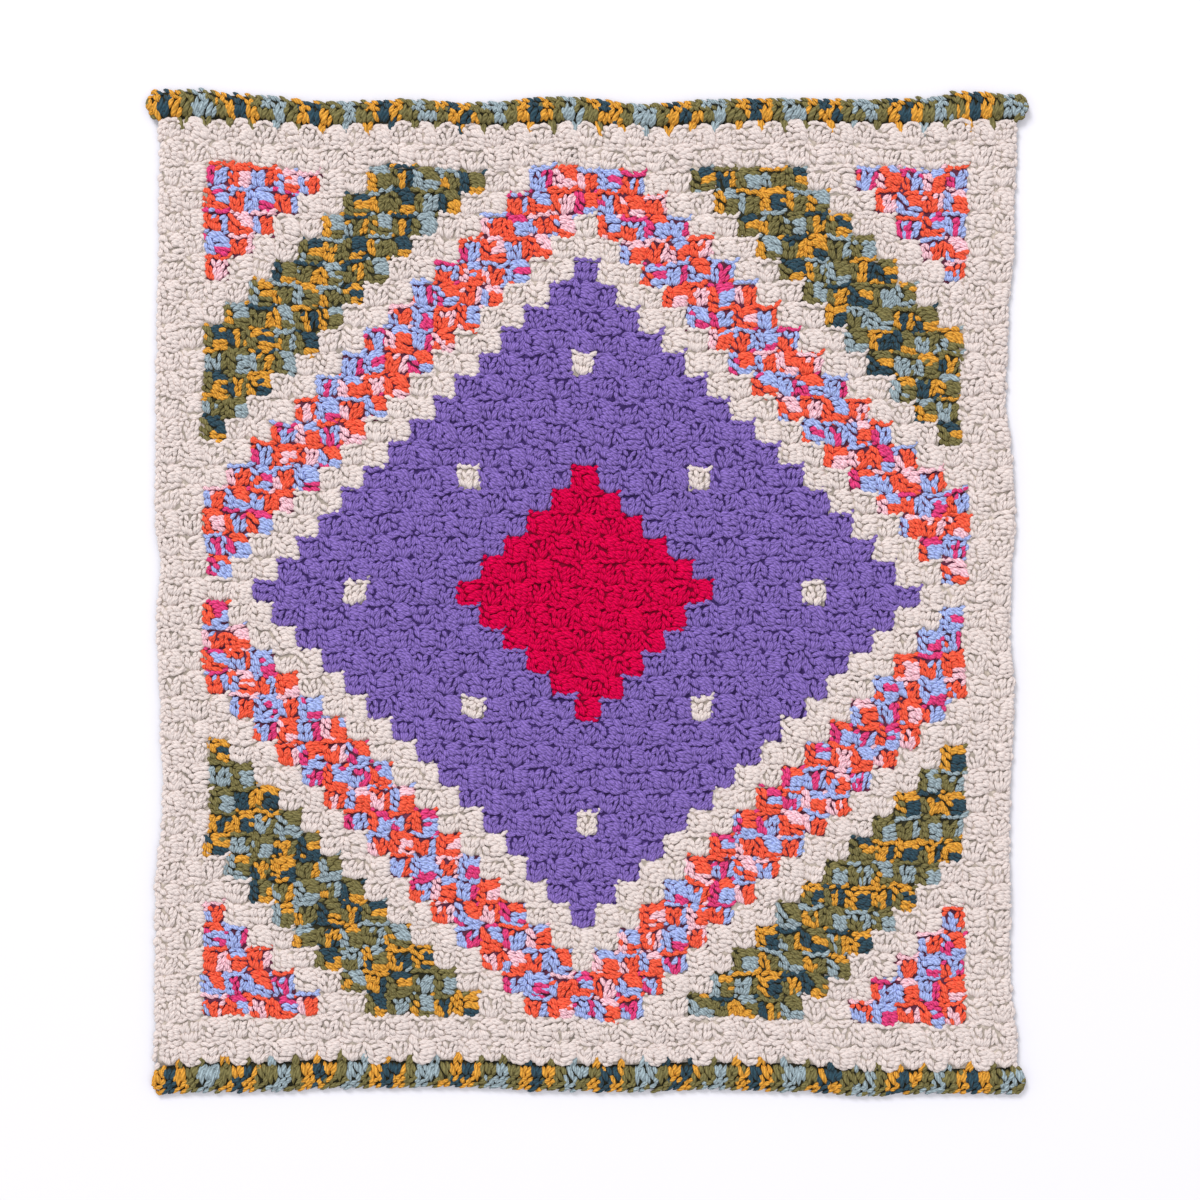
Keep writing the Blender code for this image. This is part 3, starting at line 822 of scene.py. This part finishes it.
def loop_faces():
    """Faces of one loop, by their corners: each one's point, place across the loop and station."""
    triangles, quads = [], []
    last = POINTS_A_LOOP - 1
    far = last - POINTS
    for j in range(POINTS - 1):
        triangles.append(((0, j + 0.5, 0), (2 + j, j + 1, 1), (1 + j, j, 1)))
        triangles.append(((last, j + 0.5, RINGS + 1), (far + j, j, RINGS), (far + j + 1, j + 1, RINGS)))
        for ring in range(1, RINGS):
            low = 1 + (ring - 1) * POINTS + j
            high = low + POINTS
            near_side = ((low, j, ring), (low + 1, j + 1, ring))
            far_side = ((high + 1, j + 1, ring + 1), (high, j, ring + 1))
            quads.append(near_side + far_side)
    return triangles + quads


def loop_mesh(name, loops, faces):
    """Mesh of many loops with the same faces."""
    count = len(loops.centers)
    corners = np.array([point for face in faces for point, _, _ in face])
    corners = np.arange(count)[:, None] * POINTS_A_LOOP + corners
    sizes = np.tile([len(face) for face in faces], count)
    mesh = bpy.data.meshes.new(name)
    mesh.vertices.add(count * POINTS_A_LOOP)
    mesh.vertices.foreach_set("co", loop_vertices(loops).astype(np.float32).ravel())
    mesh.loops.add(corners.size)
    mesh.loops.foreach_set("vertex_index", corners.astype(np.int32).ravel())
    mesh.polygons.add(len(sizes))
    mesh.polygons.foreach_set("loop_start", (np.cumsum(sizes) - sizes).astype(np.int32))
    mesh.update(calc_edges=True)
    return mesh


def loops_object(name, loops, material):
    """One object of many loops, with its colours and two maps: along the yarn, and for baking."""
    faces = loop_faces()
    mesh = loop_mesh(name, loops, faces)
    add_paint(mesh, np.repeat(loops.colors, POINTS_AT_STATIONS, axis=1), "POINT")
    across = np.array([place for face in faces for _, place, _ in face]) / (POINTS - 1)
    station = np.array([number for face in faces for _, _, number in face])
    along = loops.lengths[:, station]
    add_map(mesh, "strand", np.broadcast_to(across, along.shape), along)
    count = len(loops.centers)
    cells = math.ceil(math.sqrt(count))
    column, row = np.arange(count)[:, None] % cells, np.arange(count)[:, None] // cells
    bake_u = (column + BAKE_MARGIN + BAKE_SPAN * across) / cells
    bake_v = (row + BAKE_MARGIN + BAKE_SPAN * STATIONS[station]) / cells
    add_map(mesh, "OFBake", bake_u, bake_v)
    return add_object(name, mesh, material)


def slab_object(name, places, top, bottom, top_colors, bottom_colors, material):
    """Closed slab over a grid of places, with its own height above and below each place."""
    x, y = places
    rows, columns = x.shape
    upper = np.stack((x, y, top), axis=2).reshape(-1, 3)
    lower = np.stack((x, y, bottom), axis=2).reshape(-1, 3)
    number = np.arange(rows * columns).reshape(rows, columns)
    square = (number[:-1, :-1], number[:-1, 1:], number[1:, 1:], number[1:, :-1])
    above = np.stack(square, axis=2).reshape(-1, 4)
    below = above[:, ::-1] + rows * columns
    rim = np.concatenate((number[0, :-1], number[:-1, -1], number[-1, :0:-1], number[:0:-1, 0]))
    ahead = np.roll(rim, -1)
    wall = np.stack((ahead, rim, rim + rows * columns, ahead + rows * columns), axis=1)
    faces = np.concatenate((above, below, wall))
    mesh = bpy.data.meshes.new(name)
    mesh.from_pydata(np.concatenate((upper, lower)).tolist(), [], faces.tolist())
    colors = np.concatenate((top_colors, bottom_colors, np.full((len(wall), 3), WALL_TONE)))
    add_paint(mesh, np.repeat(colors, 4, axis=0), "CORNER")
    return add_object(name, mesh, material)


def set_inputs(node, **values):
    """Set inputs of a node, with underscores for the spaces in their names."""
    for name, value in values.items():
        node.inputs[name.replace("_", " ")].default_value = value


def add_node(tree, kind, operation=None, **values):
    """New node in a material, with its operation and some of its inputs set."""
    node = tree.nodes.new(kind)
    if operation:
        node.operation = operation
    set_inputs(node, **values)
    return node


def add_material(name, **values):
    """New material and its shader, with some of the shader's inputs set."""
    material = bpy.data.materials.new(name)
    material.use_nodes = True
    shader = material.node_tree.nodes["Principled BSDF"]
    set_inputs(shader, **values)
    return material, shader


def yarn_material(yarn):
    """Matt yarn: strand colour, twisted plies with painted shade and highlight, fine fibres, a soft sheen."""
    crease_shade, ply_highlight, dark_fibre, light_fibre, strength = SHADING[yarn]
    material, shader = add_material(
        f"{yarn}_yarn", Roughness=0.92, Specular_IOR_Level=0.05, Sheen_Weight=0.15, Sheen_Roughness=0.5,
        Sheen_Tint=YARNS[yarn][0][0] + (1.0,))
    tree = material.node_tree
    paint = add_node(tree, "ShaderNodeAttribute")
    paint.attribute_name = "yarn_color"
    strand = add_node(tree, "ShaderNodeUVMap")
    strand.uv_map = "strand"
    stretch = add_node(tree, "ShaderNodeMapping", Scale=(1.0, 1.7, 1.0), Rotation=(0.0, 0.0, 0.6))
    plies = add_node(tree, "ShaderNodeTexWave", Scale=0.76, Distortion=1.2, Detail=1.0, Detail_Scale=2.0)
    fibres = add_node(tree, "ShaderNodeTexNoise", Scale=2.2, Detail=4.0, Roughness=0.7)
    tone = add_node(tree, "ShaderNodeMapRange", From_Min=0.3, From_Max=0.7,
                    To_Min=dark_fibre, To_Max=light_fibre)
    # Painted shade in the creases between the plies and a painted highlight on the plies, from their wave.
    painted_ply_shade = add_node(tree, "ShaderNodeMapRange", From_Max=0.7, To_Min=crease_shade, To_Max=ply_highlight)
    shade = add_node(tree, "ShaderNodeMath", "MULTIPLY")
    mix = add_node(tree, "ShaderNodeVectorMath", "SCALE")
    relief = add_node(tree, "ShaderNodeMath", "ADD")
    bump = add_node(tree, "ShaderNodeBump", Strength=strength, Distance=0.0016)
    link = tree.links.new
    link(strand.outputs["UV"], stretch.inputs["Vector"])
    link(stretch.outputs["Vector"], fibres.inputs["Vector"])
    link(stretch.outputs["Vector"], plies.inputs["Vector"])
    link(fibres.outputs["Fac"], tone.inputs["Value"])
    link(plies.outputs["Fac"], painted_ply_shade.inputs["Value"])
    link(tone.outputs["Result"], shade.inputs[0])
    link(painted_ply_shade.outputs["Result"], shade.inputs[1])
    link(paint.outputs["Color"], mix.inputs[0])
    link(shade.outputs["Value"], mix.inputs["Scale"])
    link(mix.outputs["Vector"], shader.inputs["Base Color"])
    link(fibres.outputs["Fac"], relief.inputs[0])
    link(plies.outputs["Fac"], relief.inputs[1])
    link(relief.outputs["Value"], bump.inputs["Height"])
    link(bump.outputs["Normal"], shader.inputs["Normal"])
    return material


def sheet_material():
    """The worked sheet under the loops: small knots all over, in the blocks' colours, with painted shade
    between them.
    """
    material, shader = add_material("worked_sheet", Roughness=0.95, Specular_IOR_Level=0.12)
    tree = material.node_tree
    paint = add_node(tree, "ShaderNodeAttribute")
    paint.attribute_name = "yarn_color"
    place = add_node(tree, "ShaderNodeTexCoord")
    knots = add_node(tree, "ShaderNodeTexVoronoi", Scale=115.0)
    # Painted shade between the knots: darker away from each knot's middle.
    tone = add_node(tree, "ShaderNodeMapRange", From_Max=0.7, To_Min=1.05, To_Max=0.55)
    mix = add_node(tree, "ShaderNodeVectorMath", "SCALE")
    bump = add_node(tree, "ShaderNodeBump", Strength=0.8, Distance=0.003)
    bump.invert = True
    link = tree.links.new
    link(place.outputs["Object"], knots.inputs["Vector"])
    link(knots.outputs["Distance"], tone.inputs["Value"])
    link(paint.outputs["Color"], mix.inputs[0])
    link(tone.outputs["Result"], mix.inputs["Scale"])
    link(mix.outputs["Vector"], shader.inputs["Base Color"])
    link(knots.outputs["Distance"], bump.inputs["Height"])
    link(bump.outputs["Normal"], shader.inputs["Normal"])
    return material


def sheet_colors(blocks):
    """Colours of the sheet's squares: above the painted shade deep in the gaps, below those of the yarn."""
    squares = (ROWS * SHEET_SQUARES, COLUMNS * SHEET_SQUARES, 3)
    above, below = np.empty(squares), np.empty(squares)
    for number, (column, row, yarn) in enumerate(blocks):
        low, left = row * SHEET_SQUARES, column * SHEET_SQUARES
        block = np.s_[low:low + SHEET_SQUARES, left:left + SHEET_SQUARES]
        parts = number * BLOCK_YARN + np.arange(SHEET_SQUARES ** 2) * SQUARE_YARN
        # Painted shade on the sheet's top: the yarn's colour deep in the shaded gaps.
        above[block] = GAP_SHADE_COLORS[yarn]
        below[block] = run_colors(YARNS[yarn], parts).reshape(SHEET_SQUARES, SHEET_SQUARES, 3)
    above, below = above.reshape(-1, 3), below.reshape(-1, 3)
    uneven = np.random.default_rng(SEED + 1).normal(1.0, TONE_JITTER, (len(above), 1))
    return above * uneven, below * uneven


def make_sheet(blocks, material):
    """The panel's sheet: underside showing the blocks, top in the gaps between the loops, with painted shade.
    """
    inset_c, inset_r = SHEET_INSET / NOMINAL_WIDTH * COLUMNS, SHEET_INSET / NOMINAL_LENGTH * ROWS
    c, r = np.meshgrid(np.linspace(inset_c, COLUMNS - inset_c, COLUMNS * SHEET_SQUARES + 1),
                       np.linspace(inset_r, ROWS - inset_r, ROWS * SHEET_SQUARES + 1))
    u, v = c % 1.0, r % 1.0
    sideways = (np.floor(c) + np.floor(r)) % 2 == 1
    top = SHEET_TOP + np.where(sideways, block_relief(u, v, False), block_relief(u, v, True))
    bottom = UNDERSIDE_GROOVE * (np.maximum(np.abs(u - 0.5), np.abs(v - 0.5)) > GROOVE_START)
    return slab_object("worked_sheet", panel_point(c, r), top, bottom, *sheet_colors(blocks), material)


def make_edging_core(name, table, side, section, material):
    """The folded strip that an edging's loops stand on."""
    along = np.linspace(table[0][0] + CORE_INSET, table[-1][0] - CORE_INSET, EDGING_STITCHES + 1)
    # The bottom edging lies the other way round, so its rows are turned to keep the faces outwards.
    x, out = np.meshgrid(along, CORE_SHARES[::side])
    top = section_height(section, out) - CORE_DEPTH
    parts = np.arange(EDGING_STITCHES) * STITCH_YARN + CORE_PART
    below = np.tile(run_colors(GREEN_RUN, parts), (len(CORE_SHARES) - 1, 1))
    # Painted shade on the strip's top: the yarn's colour deep in the shaded gaps.
    above = np.broadcast_to(GAP_SHADE_COLORS["green_mix"], below.shape)
    return slab_object(name, (x, edging_place(table, x, out)), top, np.zeros(x.shape), above, below, material)


def make_block_pieces(blocks, materials, rng):
    """One or more pieces of loops for each yarn, each small enough to hand on."""
    loops = shaded(block_loops(blocks, rng), rng)
    yarn_of_loop = np.repeat([yarn for _, _, yarn in blocks], LOOPS_A_BLOCK)
    pieces = []
    for yarn in YARNS:
        chosen = np.flatnonzero(yarn_of_loop == yarn)
        parts = np.array_split(chosen, math.ceil(len(chosen) / MAX_LOOPS_A_PIECE))
        for number, part in enumerate(parts, 1):
            some = Loops(*[column[part] for column in loops])
            piece = loops_object(f"{yarn}_stitches_{number}", some, materials[yarn])
            pieces.append(piece)
    return pieces


def make_side_pieces(materials, rng):
    """The smooth columns of loops up the panel's two side edges."""
    pieces = []
    for name, side, base in SIDES:
        loops = shaded(side_loops(side, base, rng), rng)
        piece = loops_object(name, loops, materials["cream"])
        pieces.append(piece)
    return pieces


def make_edgings(materials, core_material, rng):
    """Both edgings: a core and its loops, which stand for the solid strip."""
    pieces = []
    for node, table, side, section in EDGINGS:
        stitches = shaded(edging_loops(table, side, section, rng), rng)
        loops = loops_object(f"{node}_stitches", stitches, materials["green_mix"])
        core = make_edging_core(f"{node}_core", table, side, section, core_material)
        for piece in (loops, core):
            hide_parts(node)
            pieces.append(piece)
    return pieces


def make_floor():
    """Plain pale floor, just under the blanket."""
    bpy.ops.mesh.primitive_plane_add(size=FLOOR_SIZE, location=(0.0, 0.0, -FLOOR_GAP))
    floor = bpy.context.object
    floor.name = "floor"
    material, _ = add_material("pale_floor", Base_Color=FLOOR_COLOR, Roughness=0.9, Specular_IOR_Level=0.1)
    floor.data.materials.append(material)


def make_camera():
    """Camera straight above, framed as the photograph."""
    camera = bpy.data.objects.new("camera", bpy.data.cameras.new("camera"))
    camera.data.lens = LENS
    camera.data.sensor_width = SENSOR_WIDTH
    camera.location = PICTURE_MIDDLE + (PICTURE_WIDTH * LENS / SENSOR_WIDTH,)
    bpy.context.scene.collection.objects.link(camera)
    bpy.context.scene.camera = camera


def add_area_light(name, place, size, power):
    """Square lamp that faces the middle of the blanket."""
    light = bpy.data.objects.new(name, bpy.data.lights.new(name, "AREA"))
    light.data.shape = "SQUARE"
    light.data.size = size
    light.data.energy = power
    light.location = place
    light.rotation_euler = (-light.location).to_track_quat("-Z", "Y").to_euler()
    bpy.context.scene.collection.objects.link(light)


def make_light():
    """A large soft lamp beyond the top edge and the left, a weak one above, and an even white surround."""
    for lamp in LAMPS:
        add_area_light(*lamp)
    world = bpy.data.worlds.new("studio")
    world.use_nodes = True
    set_inputs(world.node_tree.nodes["Background"], Color=SURROUND_COLOR, Strength=SURROUND_STRENGTH)
    bpy.context.scene.world = world
    bpy.context.scene.view_settings.view_transform = "Standard"


def main():
    make_camera()
    make_light()
    make_floor()
    rng = np.random.default_rng(SEED)
    blocks = block_list()
    materials = {yarn: yarn_material(yarn) for yarn in YARNS}
    under = sheet_material()
    sheet = make_sheet(blocks, under)
    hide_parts("panel")
    pieces = make_block_pieces(blocks, materials, rng)
    pieces += make_side_pieces(materials, rng)
    pieces += make_edgings(materials, under, rng)
    for piece in [sheet] + pieces:
        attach(piece, "root")


main()
